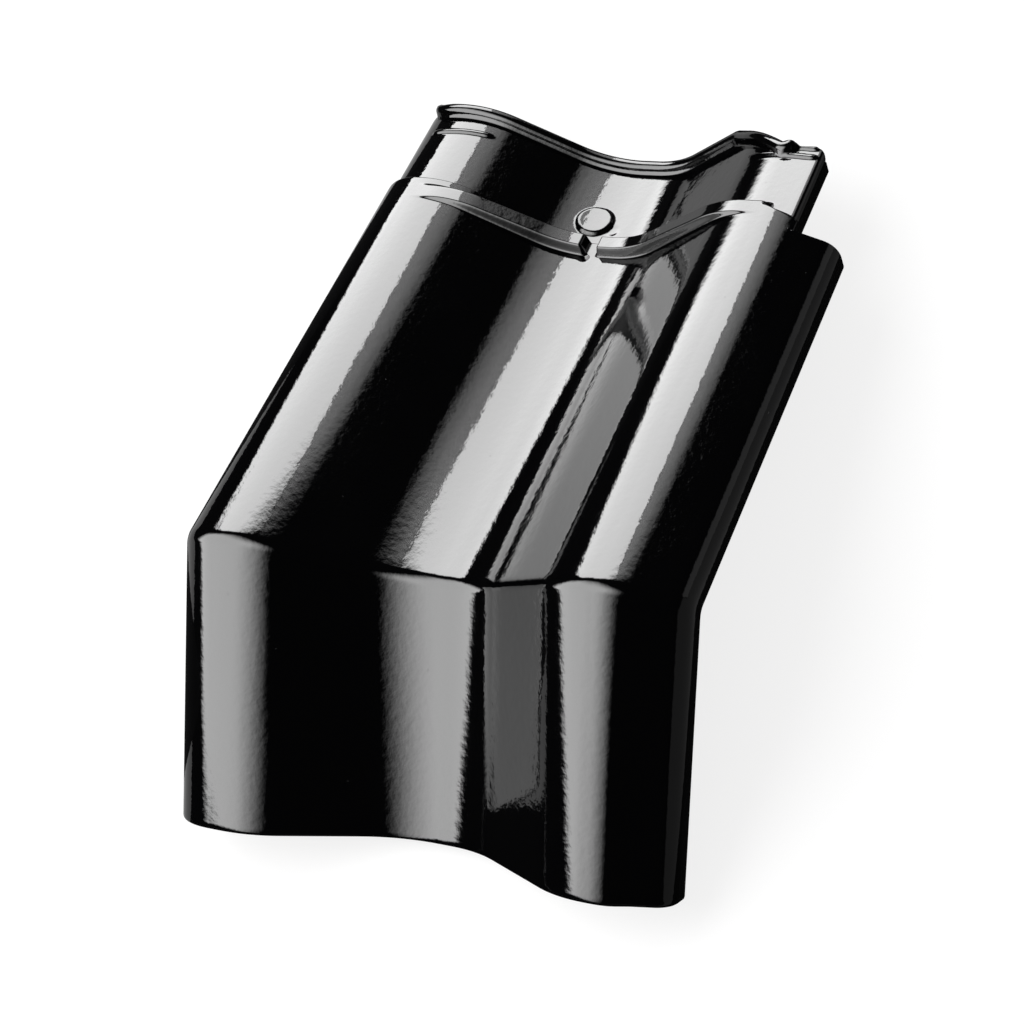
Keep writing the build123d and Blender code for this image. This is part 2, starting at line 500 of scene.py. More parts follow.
    def rib_line(self, x: Points) -> Points:
        """Height of the lower rib's top: a shallower wave that meets the crests of both rolls.

        Args:
            x: places across the tile.

        Returns:
            The height at each.
        """
        s = self.sizes
        beyond = 60.0
        corners = [
            (-beyond, 0.0),
            (s.left_crest_half + s.pan_rib_start, 0.0),
            (s.pan_left + s.pan_rib_start / 2, s.pan_rib_height - s.pan_depth),
            (s.pan_right - s.pan_rib_start / 2, s.pan_rib_height - s.pan_depth),
            (s.cover_width - s.right_crest_half - s.pan_rib_start, 0.0),
            (s.cover_width + beyond, 0.0),
        ]
        radii = [s.left_crest_radius, s.pan_left_radius, s.pan_right_radius, s.right_crest_radius]
        line, _ = rounded_line(corners, radii, [20, 40] * len(radii) + [20])
        return np.interp(x, line[:, 0], line[:, 1])

    @staticmethod
    def slot_distance(x: Points, y: Points, start: tuple, end: tuple) -> Points:
        """Distance of points from a straight line between two ends.

        Args:
            x: places of the points across the tile.
            y: their places up the tile.
            start: the line's start.
            end: its end.

        Returns:
            The distance of each point.
        """
        a, b = np.array(start), np.array(end)
        way = b - a
        t = np.clip(((x - a[0]) * way[0] + (y - a[1]) * way[1]) / (way @ way), 0.0, 1.0)
        return np.hypot(x - a[0] - t * way[0], y - a[1] - t * way[1])

    def relief(self, x: Points, y: Points) -> Points:
        """Height of ribs, bars, boss and dents above the face, measured square to it.

        Formula: the head's rib is a bead, height * (1 - |t|^p)^(1 / p), where t runs from -1 to 1
        across it. Each other form is its height times a soft step of the distance inside its
        outline.

        Args:
            x: places across the tile.
            y: places up the tile.

        Returns:
            The height at each place.
        """
        s = self.sizes
        corner = (s.cover_width - s.notch_inset, s.upper_length - s.notch_depth)
        bend = (corner[0] - s.notch_slant, s.upper_length)
        start = (s.head_rib_left + s.head_rib_width / 2, s.upper_length)
        along_head = self.slot_distance(x, y, start, bend)
        from_edge = np.minimum(along_head, self.slot_distance(x, y, bend, corner))
        t = np.clip(np.abs(2 * from_edge / s.head_rib_width - s.head_rib_middle), 0.0, 1.0)
        height = s.head_rib_height * (1 - t**self.BEAD) ** (1 / self.BEAD)
        for start, end in self.marks.bars:
            bar = smooth_step(s.bar_width / 2 - self.slot_distance(x, y, start, end), self.SOFT)
            height = np.maximum(height, s.bar_height * bar)
        from_boss = np.hypot(x - s.boss_x, y - (s.upper_length - s.boss_setback))
        height = height + s.boss_height * smooth_step(s.boss_radius - from_boss, self.SOFT)
        for at_x, at_y, radius, depth in self.marks.dents:
            height = height - depth * smooth_step(radius - np.hypot(x - at_x, y - at_y), radius)
        return height

    def rows(self, x: Points) -> list[Points]:
        """Lines up the tile above the end of the right flank, dense where the relief is steep.

        Formula: the flank's end, both sides of the lower rib, the body's end and the head's end are
        functions of x; each has a cluster of rows, and the rows between are spread evenly.

        Args:
            x: places across the tile.

        Returns:
            One array of places up the tile for each row, the flank's end first.
        """
        s = self.sizes
        apart, fine_rows = 3.2, 24.0
        end = self.body_end(x)
        back = np.minimum(s.pan_rib_y + s.pan_rib_width, end - apart)
        front = np.minimum(s.pan_rib_y, back - apart)
        head = self.head_end(x)
        made = [np.full_like(x, s.flank_length)]
        for line, between in ((front, 3), (back, 5), (end, 2)):
            cluster = [line + d for d in self.STEP_ROWS]
            made += fill(made[-1], cluster[0], between) + cluster
        fine = head - fine_rows
        made += fill(made[-1], fine, 42) + [fine]
        made += fill(fine, head - self.HEAD_ROUND, 44) + [head - d for d in self.HEAD_ROWS]
        return made

    def down_the_path(self, section: Points, share: float, part: Part) -> Points:
        """A row of points across the leg, the kink or the skirt.

        Formula: on the leg a point keeps its x and z while y runs from the plane that halves the
        kink, y = bend - z tan(kink / 2), to the end of the right flank. In the kink the same
        points go round an arc of the kink's radius, and on the skirt they run straight to the
        tail's plane, while the left flank leans out by the flare, with its rounding a little
        further, and the right lip leans in by the taper.

        Args:
            section: (x, z) of each column.
            share: 0 at the part's upper end and 1 at its lower end.
            part: the stretch that the row lies on.

        Returns:
            The points in the tile's own frame.
        """
        s = self.sizes
        angle = math.radians(s.kink_angle)
        x, z = section.T
        bent = s.kink_radius * math.tan(angle / 2) - z * math.tan(angle / 2)
        if part is Part.LEG:
            return np.stack([x, s.flank_length + (bent - s.flank_length) * share, z], axis=1)
        turn = angle * (share if part is Part.KINK else 1.0)
        y = bent - s.kink_radius * math.sin(turn)
        z = z - s.kink_radius * (1 - math.cos(turn))
        if part is Part.SKIRT:
            left = s.skirt_length + y * math.cos(angle) + z * math.sin(angle)
            y = y - left * math.cos(angle) * share
            z = z - left * math.sin(angle) * share
            out = np.clip((s.flare_from - x) / s.flare_ramp, 0.0, 1.0)
            out = out + 0.5 * np.sin(math.pi * np.clip(x / s.left_side, 0.0, 1.0))
            drawn = np.clip((x - s.cover_width - s.crown_run) / s.flare_ramp, 0.0, 1.0)
            x = x - s.skirt_flare * share * out - s.skirt_taper * share * drawn
        return np.stack([x, y, z], axis=1)

    def outline(self, shrink: float = 0.0) -> Points:
        """The body's closed section: face, right edge, inside and left edge.

        Args:
            shrink: how far the outside is drawn in, for the rounding of a cut end.

        Returns:
            The section's points, in order round it.
        """
        outer = self.body - self.normal * shrink
        inner = self.inner + self.normal[:: self.SKIP] * shrink
        right = self.edge(outer[-1], inner[-1]) + [0.0, shrink]
        left = self.edge(outer[0], inner[0])[::-1] + [0.0, shrink]
        return np.concatenate([outer, right, inner[::-1], left])

    def lower_rows(self) -> list[Points]:
        """Rows from the tail up to the end of the right flank.

        Formula: near the tail the outside is drawn in by r - sqrt(r^2 - (r - depth)^2), a quarter
        circle.

        Returns:
            The rows, the tail first, each with the points of one closed section.
        """
        length, r = self.sizes.skirt_length, self.TAIL_ROUND
        made = []
        for depth in self.TAIL_ROWS:
            shrink = r - math.sqrt(max(0.0, r**2 - (r - depth) ** 2))
            made.append(self.down_the_path(self.outline(shrink), 1 - depth / length, Part.SKIRT))
        full = self.outline()
        shares = {
            Part.SKIRT: np.linspace(1 - 2 * r / length, 0, 38),
            Part.KINK: np.linspace(1, 0, 13)[1:],
            Part.LEG: np.linspace(1, 0, 60)[1:-1],
        }
        for part, at in shares.items():
            made += [self.down_the_path(full, t, part) for t in at]
        for depth in self.FLANK_ROWS:
            row = self.down_the_path(full, 0, Part.LEG)
            row[:, 1] -= depth
            made.append(row)
        return made

    def lap_face(self, y: Points, head: Points, rib_top: Points) -> tuple[Points, float]:
        """A row of the face over the head lap, with its step, ribs, bars and boss.

        Formula: a soft step across the body's end turns the body's face into the lap's, and the
        relief is added square to it. The lower rib fills the face up to its top, but for the drain
        gap. The head's last rows are drawn in by r - sqrt(r^2 - d^2), a quarter circle.

        Args:
            y: the row's places up the tile.
            head: where the head ends.
            rib_top: height of the lower rib's top.

        Returns:
            The (x, z) of each column, and how far the left flank is the lap's, from 0 to 1.
        """
        s, k = self.sizes, self.last_lap
        body, normal = self.body[: k + 1], self.normal[: k + 1]
        lapped = smooth_step(y - self.body_end(body[:, 0]), self.STEP)[:, None]
        at = body * (1 - lapped) + self.lap * lapped
        out = normal * (1 - lapped) + self.lap_normal * lapped
        out = out / np.linalg.norm(out, axis=1)[:, None]
        at = at + out * self.relief(at[:, 0], y)[:, None]
        gap = smooth_step(np.abs(at[:, 0] - s.drain_gap_x) - s.drain_gap / 2, self.SOFT)
        front = smooth_step(y - s.pan_rib_y, self.STEP)
        back = smooth_step(s.pan_rib_y + s.pan_rib_width - y, s.pan_rib_soft)
        flat = np.abs(normal[:, 0]) < 0.95
        stands = np.where(flat & (at[:, 0] > 0), np.maximum(rib_top - at[:, 1], 0.0), 0.0)
        fades = smooth_step(s.cover_width - at[:, 0], s.pan_rib_fade)
        at[:, 1] += stands * (front * back * gap) * fades
        r = self.HEAD_ROUND
        over = np.clip(r - (head - y), 0.0, r)
        return at - out * (r - np.sqrt(r**2 - over**2))[:, None], lapped[0, 0]

    def upper_rows(self) -> list[Points]:
        """Rows over the head lap: face, right side and inside, without the right lip.

        Returns:
            The rows, the lowest first, each with the points of one closed section.
        """
        s, k = self.sizes, self.last_lap
        body_x = self.body[: k + 1, 0]
        inner = self.inner[: k // self.SKIP + 1]
        left = self.edge(self.body[0], inner[0])[::-1]
        side_x = np.full(self.SIDE, s.lap_side)
        across = [self.rows(x) for x in (body_x, side_x, inner[:, 0], left[:, 0])]
        head, rib_top = across[0][-1], self.rib_line(body_x)
        t = np.linspace(0, 1, self.SIDE + 2)[1:-1]
        made = []
        for y, side_y, inner_y, left_y in zip(*across):
            at, lapped = self.lap_face(y, head, rib_top)
            side_z = at[-1, 1] + (inner[-1, 1] - at[-1, 1]) * t
            left_x = left[:, 0] + 0.5 * (s.lap_inset * lapped)
            parts = [
                (at[:, 0], y, at[:, 1]),
                (side_x, side_y, side_z),
                (inner[::-1, 0], inner_y[::-1], inner[::-1, 1]),
                (left_x, left_y, left[:, 1]),
            ]
            made.append(np.concatenate([np.stack(part, axis=1) for part in parts]))
        return made

    def cap(
        self, outer: list[int], inner: list[int], first: list[int], last: list[int]
    ) -> Faces:
        """Faces that close a cut end, each across the wall.

        Args:
            outer: vertices along the outside.
            inner: vertices along the inside, one for every third of the outside's.
            first: vertices between the two at the near end, from inside to outside.
            last: vertices between the two at the far end, from outside to inside.

        Returns:
            The faces.
        """
        faces = []
        count = len(inner) - 1
        for i in range(count):
            near = outer[self.SKIP * i : self.SKIP * (i + 1) + 1]
            near = near + (last if i == count - 1 else [])
            faces.append(near + [inner[i + 1], inner[i]] + (first if i == 0 else []))
        return faces

    def body_faces(self, count: int) -> tuple[Faces, list[int], list[int], list[int], list[int]]:
        """Faces round the body's rows, and its cut tail.

        Args:
            count: how many rows there are.

        Returns:
            The faces, and of the last row the vertices along the outside, the right edge, the
            inside and the left edge.
        """
        n, m, edge = len(self.body), len(self.inner), self.EDGE
        ring = n + m + 2 * edge
        rows = np.arange(count * ring).reshape(count, ring)
        ends = []
        for row in (rows[0].tolist(), rows[-1].tolist()):
            inner = row[n + edge : n + edge + m][::-1]
            ends.append((row[:n], row[n : n + edge], inner, row[n + edge + m :]))
        outer, right, inner, left = ends[0]
        tail = [face[::-1] for face in self.cap(outer, inner, left, right)]
        return rings_to_faces(rows) + tail, *ends[1]

    def build(self) -> tuple[Points, Faces, Points]:
        """Makes the shell's vertices and faces.

        Returns:
            The vertices in the tile's own frame, the faces, and for each vertex how far it lies on
            the bare underside, from 0 to 1.
        """
        lower, upper = self.lower_rows(), self.upper_rows()
        k, edge = self.last_lap, self.EDGE
        lap_inner = k // self.SKIP + 1
        faces, outer, right, inner, left = self.body_faces(len(lower))

        # The head's first row shares the body's vertices, but for those down its right side.
        start = sum(len(row) for row in lower)
        after_side = k + 1 + self.SIDE
        side = list(range(start, start + self.SIDE))
        points = np.concatenate(lower + [upper[0][k + 1 : after_side]] + upper[1:])
        shared = outer[: k + 1] + side + inner[:lap_inner][::-1] + left
        table = np.arange((len(upper) - 1) * len(upper[0])).reshape(-1, len(upper[0]))
        table = np.concatenate([np.array([shared]), table + start + self.SIDE])
        faces += rings_to_faces(table)
        faces += self.cap(outer[k:], inner[lap_inner - 1 :], side[::-1], right)
        end = table[-1].tolist()
        end_inner = end[after_side : after_side + lap_inner][::-1]
        faces += self.cap(
            end[: k + 1], end_inner, end[after_side + lap_inner :], end[k + 1 : after_side]
        )

        rim = np.full(edge, self.RIM_BARE)
        bare_lower = [np.zeros(len(outer)), rim, np.ones(len(inner)), rim]
        bare_upper = [np.zeros(after_side), np.ones(lap_inner), rim]
        bare = bare_lower * len(lower) + [np.zeros(self.SIDE)] + bare_upper * (len(upper) - 1)
        return points, faces, np.concatenate(bare)


class Nibs:
    """Two tapered nibs under the head, which hook behind the batten."""

    # The lower edge's rounding: height above the nib's foot, and how far it is drawn in.
    FOOT = ((2.0, 0.0), (1.2, 0.2), (0.5, 0.7), (0.0, 1.9))
    ROUND_COUNT = 48

    def __init__(self, sizes: TileSizes) -> None:
        """Keeps the sizes.

        Args:
            sizes: sizes of the tile.
        """
        self.sizes = sizes

    def build(self) -> list[tuple[Points, Faces]]:
        """Makes both nibs.

        Formula: rings of a rounded rectangle, drawn in by height * tan(draft), with the lower edge
        rounded by a quarter circle.

        Returns:
            Vertices in the tile's own frame and faces, one pair for each nib.
        """
        s = self.sizes
        turn = np.linspace(0, 2 * math.pi, self.ROUND_COUNT, endpoint=False)
        way = np.stack([np.cos(turn), np.sin(turn)], axis=1)
        pan_middle = (s.pan_left + s.pan_right) / 2
        centre_y = s.upper_length - s.nib_setback - s.nib_thickness / 2
        sunk = s.wall / 3
        full = s.nib_height + sunk
        depths = [(0.0, 0.0), (full * 0.5, 0.0)] + [(full - up, extra) for up, extra in self.FOOT]
        rings = []
        for depth, extra in depths:
            inset = depth * math.tan(math.radians(s.nib_draft)) + extra
            half = np.array([s.nib_width, s.nib_thickness]) / 2 - inset
            r = max(s.edge_round - extra * 0.5, 0.6)
            flat = np.clip(way * 60.0, -(half - r), half - r) + way * r
            level = np.full(len(flat), -s.underside + sunk - depth)
            rings.append(np.column_stack([flat, level]))
        count = len(turn)
        faces = []
        row = np.arange(count)
        for k in range(len(rings) - 1):
            a, b = k * count + row, k * count + np.roll(row, -1)
            faces += np.stack([a, a + count, b + count, b], axis=1).tolist()
        faces.append(list(range(count)))
        faces.append(list(range((len(rings) - 1) * count, len(rings) * count))[::-1])
        made = []
        for way_x in (-0.5, 0.5):
            points = np.concatenate(rings) + [pan_middle + way_x * s.nib_spacing, centre_y, 0.0]
            made.append((points, faces))
        return made


class Nodes:
    """Short ways to add nodes to a tree."""

    def __init__(self, tree: bpy.types.NodeTree) -> None:
        """Keeps the tree.

        Args:
            tree: the node tree that is built.
        """
        self.tree = tree

    def add(self, kind: str, **values: object) -> bpy.types.Node:
        """Adds a node and sets its properties."""
        node = self.tree.nodes.new(kind)
        for key, value in values.items():
            setattr(node, key, value)
        return node

    def link(self, start: Socket, end: Socket) -> None:
        """Joins two sockets."""
        self.tree.links.new(start, end)

    def put(self, value: float | tuple | Vector | Socket, slot: Socket) -> None:
        """Sets an input to a constant, or joins a socket to it."""
        if isinstance(value, bpy.types.NodeSocket):
            self.link(value, slot)
        else:
            slot.default_value = value

    def filled(self, node: bpy.types.Node, **values: float | tuple | Vector | Socket) -> Socket:
        """Fills inputs by name, an underscore standing for a space, and gives the first output."""
        for name, value in values.items():
            self.put(value, node.inputs[name.replace("_", " ")])
        return node.outputs[0]

    def math(self, kind: str, *values: float | Socket, clamp: bool = False) -> Socket:
        """A Math node on sockets or numbers.

        Args:
            kind: its operation.
            values: its inputs.
            clamp: whether the result is held between 0 and 1.

        Returns:
            The result.
        """
        node = self.add("ShaderNodeMath", operation=kind, use_clamp=clamp)
        for slot, value in zip(node.inputs, values):
            self.put(value, slot)
        return node.outputs[0]

    def mapping(self, vector: Socket, scale: tuple) -> Socket:
        """A Mapping node with a scale."""
        return self.filled(self.add("ShaderNodeMapping"), Vector=vector, Scale=scale)

    def noise(self, vector: Socket, scale: float, detail: float, rough: float = 0.5) -> Socket:
        """A Noise texture's value."""
        node = self.add("ShaderNodeTexNoise")
        return self.filled(node, Vector=vector, Scale=scale, Detail=detail, Roughness=rough)

    def ramp(
        self, value: Socket, low: float, high: float, start: float = 0.0, end: float = 1.0
    ) -> Socket:
        """A Map Range node, clamped and smooth.

        Args:
            value: what it maps.
            low: value that gives start.
            high: value that gives end.
            start: result at low.
            end: result at high.

        Returns:
            The result.
        """
        node = self.add("ShaderNodeMapRange", interpolation_type="SMOOTHSTEP")
        spans = {"From_Min": low, "From_Max": high, "To_Min": start, "To_Max": end}
        return self.filled(node, Value=value, **spans)

    def group(self, tree: bpy.types.NodeTree, **values: float | Socket) -> Socket:
        """A group node's one output, with its inputs filled."""
        return self.filled(self.add("ShaderNodeGroup", node_tree=tree), **values)

    def glow(self, strength: float | Socket) -> Socket:
        """An Emission shader."""
        return self.filled(self.add("ShaderNodeEmission"), Strength=strength)

    def finish(self, shader: Socket, output: str = "ShaderNodeOutputMaterial") -> None:
        """Joins a shader to the tree's output."""
        self.link(shader, self.add(output).inputs["Surface"])


def new_material(name: str) -> tuple[bpy.types.Material, Nodes]:
    """Makes an empty material.

    Args:
        name: its name.

    Returns:
        The material and its nodes.
    """
    material = bpy.data.materials.new(name)
    material.use_nodes = True
    material.node_tree.nodes.clear()
    return material, Nodes(material.node_tree)


def new_group(
    name: str, numbers: tuple[str, ...], result: str, vector: bool = True
) -> tuple[bpy.types.NodeTree, Nodes, bpy.types.NodeOutputs, Socket]:
    """Starts a shader node group.

    Args:
        name: the group's name.
        numbers: names of its number inputs.
        result: name of its one output.
        vector: whether it also takes a vector.

    Returns:
        The group, its nodes, its inputs as seen inside it and the socket for its result.
    """
    group = bpy.data.node_groups.new(name, "ShaderNodeTree")
    new_socket = group.interface.new_socket
    for key in numbers:
        new_socket(name=key, in_out="INPUT", socket_type="NodeSocketFloat")
    if vector:
        new_socket(name="Vector", in_out="INPUT", socket_type="NodeSocketVector")
    new_socket(name=result, in_out="OUTPUT", socket_type="NodeSocketFloat")
    n = Nodes(group)
    given = n.add("NodeGroupInput").outputs
    return group, n, given, n.add("NodeGroupOutput").inputs[result]


class SurfaceGroups:
    """Shader node groups that the glaze and the bare clay share."""

    def __init__(self) -> None:
        """Builds each group once."""
        self.ripple = self.make_ripple()
        self.pits = self.make_pits()

    @staticmethod
    def make_ripple() -> bpy.types.NodeTree:
        """Height of pressed clay: long soft waves, a finer ripple across them and a fine grain.

        Returns:
            The group.
        """
        numbers = ("Long", "Ripple", "Grain")
        group, n, given, height = new_group("pressed_ripple", numbers, "Height")
        long_waves = n.noise(n.mapping(given["Vector"], (1.0, 0.35, 1.0)), 28.0, 1.0)
        ripple = n.noise(n.mapping(given["Vector"], (1.0, 0.8, 1.0)), 300.0, 2.0)
        grain = n.noise(given["Vector"], 900.0, 2.0, 0.6)
        total = n.math("MULTIPLY", long_waves, given["Long"])
        total = n.math("MULTIPLY_ADD", ripple, given["Ripple"], total)
        n.link(n.math("MULTIPLY_ADD", grain, given["Grain"], total), height)
        return group

    @staticmethod
    def make_pits() -> bpy.types.NodeTree:
        """Small pinholes and specks, as a mask.

        Returns:
            The group.
        """
        group, n, given, mask = new_group("pinholes", ("Scale", "Size", "Share"), "Mask")
        cell = n.add("ShaderNodeTexVoronoi", feature="F1")
        n.filled(cell, Vector=given["Vector"], Scale=given["Scale"])
        near = n.math("LESS_THAN", cell.outputs["Distance"], given["Size"])
        chosen = n.add("ShaderNodeSeparateColor")
        n.link(cell.outputs["Color"], chosen.inputs[0])
        some = n.math("LESS_THAN", chosen.outputs[0], given["Share"])
        n.link(n.math("MULTIPLY", near, some), mask)
        return group


@dataclass(frozen=True)
class GlazedClay:
    """Black glossy glaze over fired clay, which is left bare underneath."""

    glaze: tuple = (0.0008, 0.0008, 0.001, 1.0)
    clay: tuple = (0.26, 0.105, 0.06, 1.0)
    roughness: float = 0.035
    uneven: float = 0.03
    bare_roughness: float = 0.8
    refraction: float = 1.52
    long_waves: float = 1.0
    ripple: float = 0.3
    grain: float = 0.03
    pit_scale: float = 130.0
    pit_size: float = 0.06
    pit_share: float = 0.07
    pit_depth: float = 0.4
    bump: float = 0.00022
    name: str = "glazed_clay"

    def build(self, groups: SurfaceGroups) -> bpy.types.Material:
        """Makes the material.

        Args:
            groups: the shared node groups.

        Returns:
            The material.
        """
        material, n = new_material(self.name)
        place = n.add("ShaderNodeTexCoord").outputs["Object"]
        bare = n.add("ShaderNodeAttribute", attribute_name="bare", attribute_type="GEOMETRY")
        rim = n.math("MULTIPLY_ADD", n.noise(place, 60.0, 3.0), 0.5, bare.outputs["Fac"])
        bare_mask = n.ramp(rim, 0.82, 0.98)

        waves = {"Long": self.long_waves, "Ripple": self.ripple, "Grain": self.grain}
        height = n.group(groups.ripple, Vector=place, **waves)
        holes = {"Scale": self.pit_scale, "Size": self.pit_size, "Share": self.pit_share}
        pits = n.group(groups.pits, Vector=place, **holes)
        height = n.math("MULTIPLY_ADD", pits, -self.pit_depth, height)
        normal = n.filled(n.add("ShaderNodeBump"), Strength=1.0, Distance=self.bump, Height=height)

        colour = n.add("ShaderNodeMix", data_type="RGBA")
        n.filled(colour, Factor=bare_mask, A=self.glaze, B=self.clay)
        rough = self.roughness
        patch = n.ramp(n.noise(place, 24.0, 3.0), 0.35, 0.7, rough, rough + self.uneven)
        rough = n.math("MULTIPLY_ADD", bare_mask, self.bare_roughness, patch)

        shader = n.filled(
            n.add("ShaderNodeBsdfPrincipled"),
            IOR=self.refraction,
            Base_Color=colour.outputs["Result"],
            Roughness=rough,
            Normal=normal,
        )
        n.finish(shader)
        return material


@dataclass(frozen=True)
class Panel:
    """A glowing panel that the glaze mirrors, with a soft fade along each side.

    Angles are in degrees and lengths in metres. The panel's middle is seen from the tile at an
    azimuth, from +Y towards +X, and an elevation, and it faces the tile.
    """

    name: str
    azimuth: float
    elevation: float
    distance: float
    strength: float
    across: tuple[float, float]
    across_fades: tuple[float, float]
    tall: tuple[float, float]
    tall_fades: tuple[float, float] = (0.3, 0.3)

    @staticmethod
    def heading(azimuth: float, elevation: float) -> Vector:
        """The direction at an azimuth and an elevation."""
        a, e = math.radians(azimuth), math.radians(elevation)
        return Vector((math.sin(a) * math.cos(e), math.cos(a) * math.cos(e), math.sin(e)))

    def build(self, fade: bpy.types.NodeTree) -> bpy.types.Object:
        """Makes the panel as one face.

        Args:
            fade: node group that gives a band with faded ends.

        Returns:
            The panel.
        """
        away = self.heading(self.azimuth, self.elevation)
        middle = away * self.distance
        right = away.cross(Vector((0, 0, 1))).normalized()
        up = right.cross(away)
        sides = ((right, self.across, self.across_fades), (up, self.tall, self.tall_fades))
        (left, far), (low, top) = (
            (ends[0] - fades[0] / 2, ends[1] + fades[1] / 2) for _, ends, fades in sides
        )
        corners = [(left, low), (left, top), (far, top), (far, low)]
        points = np.array([middle + right * u + up * v for u, v in corners])
        piece = make_piece(self.name, points, [[0, 1, 2, 3]])

        material, n = new_material(self.name)
        place = n.add("ShaderNodeTexCoord").outputs["Object"]
        bands = []
        for way, ends, fades in sides:
            dot = n.add("ShaderNodeVectorMath", operation="DOT_PRODUCT")
            n.put(way, dot.inputs[1])
            n.link(place, dot.inputs[0])
            at = n.math("SUBTRACT", dot.outputs["Value"], middle.dot(way))
            span = {"Low": ends[0], "High": ends[1], "Low_Fade": fades[0], "High_Fade": fades[1]}
            bands.append(n.group(fade, Place=at, **span))
        n.finish(n.glow(n.math("MULTIPLY", n.math("MULTIPLY", *bands), self.strength)))
        piece.data.materials.append(material)
        return piece


class Studio:
    """Floor, lamp, glowing panels, sheets that paint reflected shade and light, and camera."""

    PANELS = (
        Panel("back_panel", -20.0, 35.0, 2.5, 11.6, (-0.95, 0.5), (0.14, 0.06), (-0.8, 0.62)),
        Panel("back_spill", -20.0, 35.0, 2.5, 5.4, (0.5, 0.95), (0.06, 0.8), (-0.8, 0.7)),
        Panel("back_scrim", -20.0, 35.0, 2.5, 1.7, (0.5, 1.3), (0.06, 0.25), (-0.8, 0.7)),
        Panel(
            "front_panel", -140.0, 45.0, 1.0, 8.0, (-0.5, 0.6), (0.66, 0.3),
            (-0.42, 0.75), (0.1, 0.8),
        ),
        # The two dim panels on the right paint reflected shade into the glaze of the right lip and
        # flank.
        Panel("right_reflected_shade", 50.0, 8.0, 3.0, 0.35, (-1.2, 0.8), (0.3, 0.3), (-0.6, 0.6), (0.2, 0.3)),
        Panel("side_reflected_shade", 95.0, 6.0, 3.1, 0.17, (-2.0, 2.0), (0.3, 0.3), (-0.6, 0.7), (0.2, 0.3)),
    )

    # Sheets on the floor and upright beside the left flank, seen only in reflections, which paint
    # reflected shade
    # # into the glaze, and pale reflected light from the left floor sheet: name, level, height or
    # X, and outline.
    FLOOR_REFLECTION_SHEETS = (
        ("floor_reflected_shade", 0.01, 0.001, ((-4.0, -2.0), (4.0, -2.0), (4.0, 4.0), (-4.0, 4.0))),
        ("right_floor_reflected_shade", 0.17, 0.002, ((0.19, -2.0), (4.0, -2.0), (4.0, 4.0), (0.19, 4.0))),
        ("left_floor_reflected_light", 0.55, 0.002, ((-4.0, -1.76), (-0.06, -0.19), (-0.06, 4.0), (-4.0, 4.0))),
    )
    UPRIGHT_REFLECTION_SHEETS = (
        ("leg_reflected_shade", 0.02, -0.16, ((-0.08, 0.05), (0.4, 0.05), (0.4, 0.1), (-0.08, 0.1))),
        ("skirt_reflected_shade", 0.02, -0.155, ((-0.19, 0.0), (-0.08, 0.0), (-0.08, 0.1), (-0.19, 0.1))),
    )
    TENT_RADIUS, TENT_LEVEL = 7.0, 0.01
    TENT_COUNTS = (49, 13)

    # The camera in the tile's own frame, with its focal length in pixels of the photograph.
    CAMERA_RIGHT = (0.8838, 0.3677, -0.2893)
    CAMERA_UP = (-0.1025, 0.7556, 0.647)
    CAMERA_PLACE = (655.6, -565.7, 782.1)
    FOCAL, PHOTO_WIDTH, SENSOR = 2366.5, 1024, 36.0

    FLOOR_REACH, FLOOR_COLOUR, FLOOR_GLOW = 9.0, (0.24, 0.24, 0.24, 1), 0.8
    DIM_LEVEL, WHITE_LEVEL = 0.5, 1.0
    LAMP_AZIMUTH, LAMP_ELEVATION, LAMP_DISTANCE = -100.0, 62.0, 2.6
    LAMP_SIZE, LAMP_POWER = 2.4, 62.0

    def __init__(self, standing: Standing) -> None:
        """Keeps the tile's placing.

        Args:
            standing: takes the tile's own frame to the shared frame.
        """
        self.standing = standing

    def camera(self) -> None:
        """Puts the camera where the photograph was taken from."""
        across = self.standing.direction(self.CAMERA_RIGHT)
        back = across.cross(self.standing.direction(self.CAMERA_UP)).normalized()
        upward = back.cross(across).normalized()
        place = self.standing.place(np.array([self.CAMERA_PLACE]))[0]
        turn = Matrix((across.normalized(), upward, back)).transposed()
        data = bpy.data.cameras.new("photo_camera")
        data.sensor_width = self.SENSOR
        data.lens = self.FOCAL / self.PHOTO_WIDTH * self.SENSOR
        data.clip_start, data.clip_end = 0.05, 60.0
        camera = bpy.data.objects.new("photo_camera", data)
        camera.matrix_world = Matrix.Translation(Vector(place)) @ turn.to_4x4()
        bpy.context.scene.collection.objects.link(camera)
        bpy.context.scene.camera = camera

    @staticmethod
    def seen(n: Nodes) -> Socket:
        """1 for camera, glossy and transmission rays."""
        rays = n.add("ShaderNodeLightPath").outputs
        total = n.math("ADD", rays["Is Camera Ray"], rays["Is Glossy Ray"])
        return n.math("ADD", total, rays["Is Transmission Ray"], clamp=True)

    def floor(self) -> None:
        """A wide pale floor that keeps the tile's shadow."""
        reach = self.FLOOR_REACH
        points = reach * np.array([(-1, -1, 0), (1, -1, 0), (1, 1, 0), (-1, 1, 0)], float)
        piece = make_piece("floor", points, [[0, 1, 2, 3]])
        material, n = new_material("pale_floor")
        matt = n.filled(n.add("ShaderNodeBsdfDiffuse"), Color=self.FLOOR_COLOUR)
        both = n.add("ShaderNodeAddShader")
        glow = n.glow(n.math("MULTIPLY", self.seen(n), self.FLOOR_GLOW))
        for shader, slot in zip((matt, glow), both.inputs):
            n.link(shader, slot)
        n.finish(both.outputs[0])
        piece.data.materials.append(material)

    def world(self) -> None:
        """A white background and a little even light."""
        world = bpy.data.worlds.new("pale_room")
        bpy.context.scene.world = world
        world.use_nodes = True
        world.node_tree.nodes.clear()
        n = Nodes(world.node_tree)
        mix = n.add("ShaderNodeMixShader")
        n.link(self.seen(n), mix.inputs[0])
        for level, slot in zip((self.DIM_LEVEL, self.WHITE_LEVEL), mix.inputs[1:]):
            light = n.add("ShaderNodeBackground")
            n.link(n.filled(light, Color=(1, 1, 1, 1), Strength=level), slot)
        n.finish(mix.outputs[0], "ShaderNodeOutputWorld")

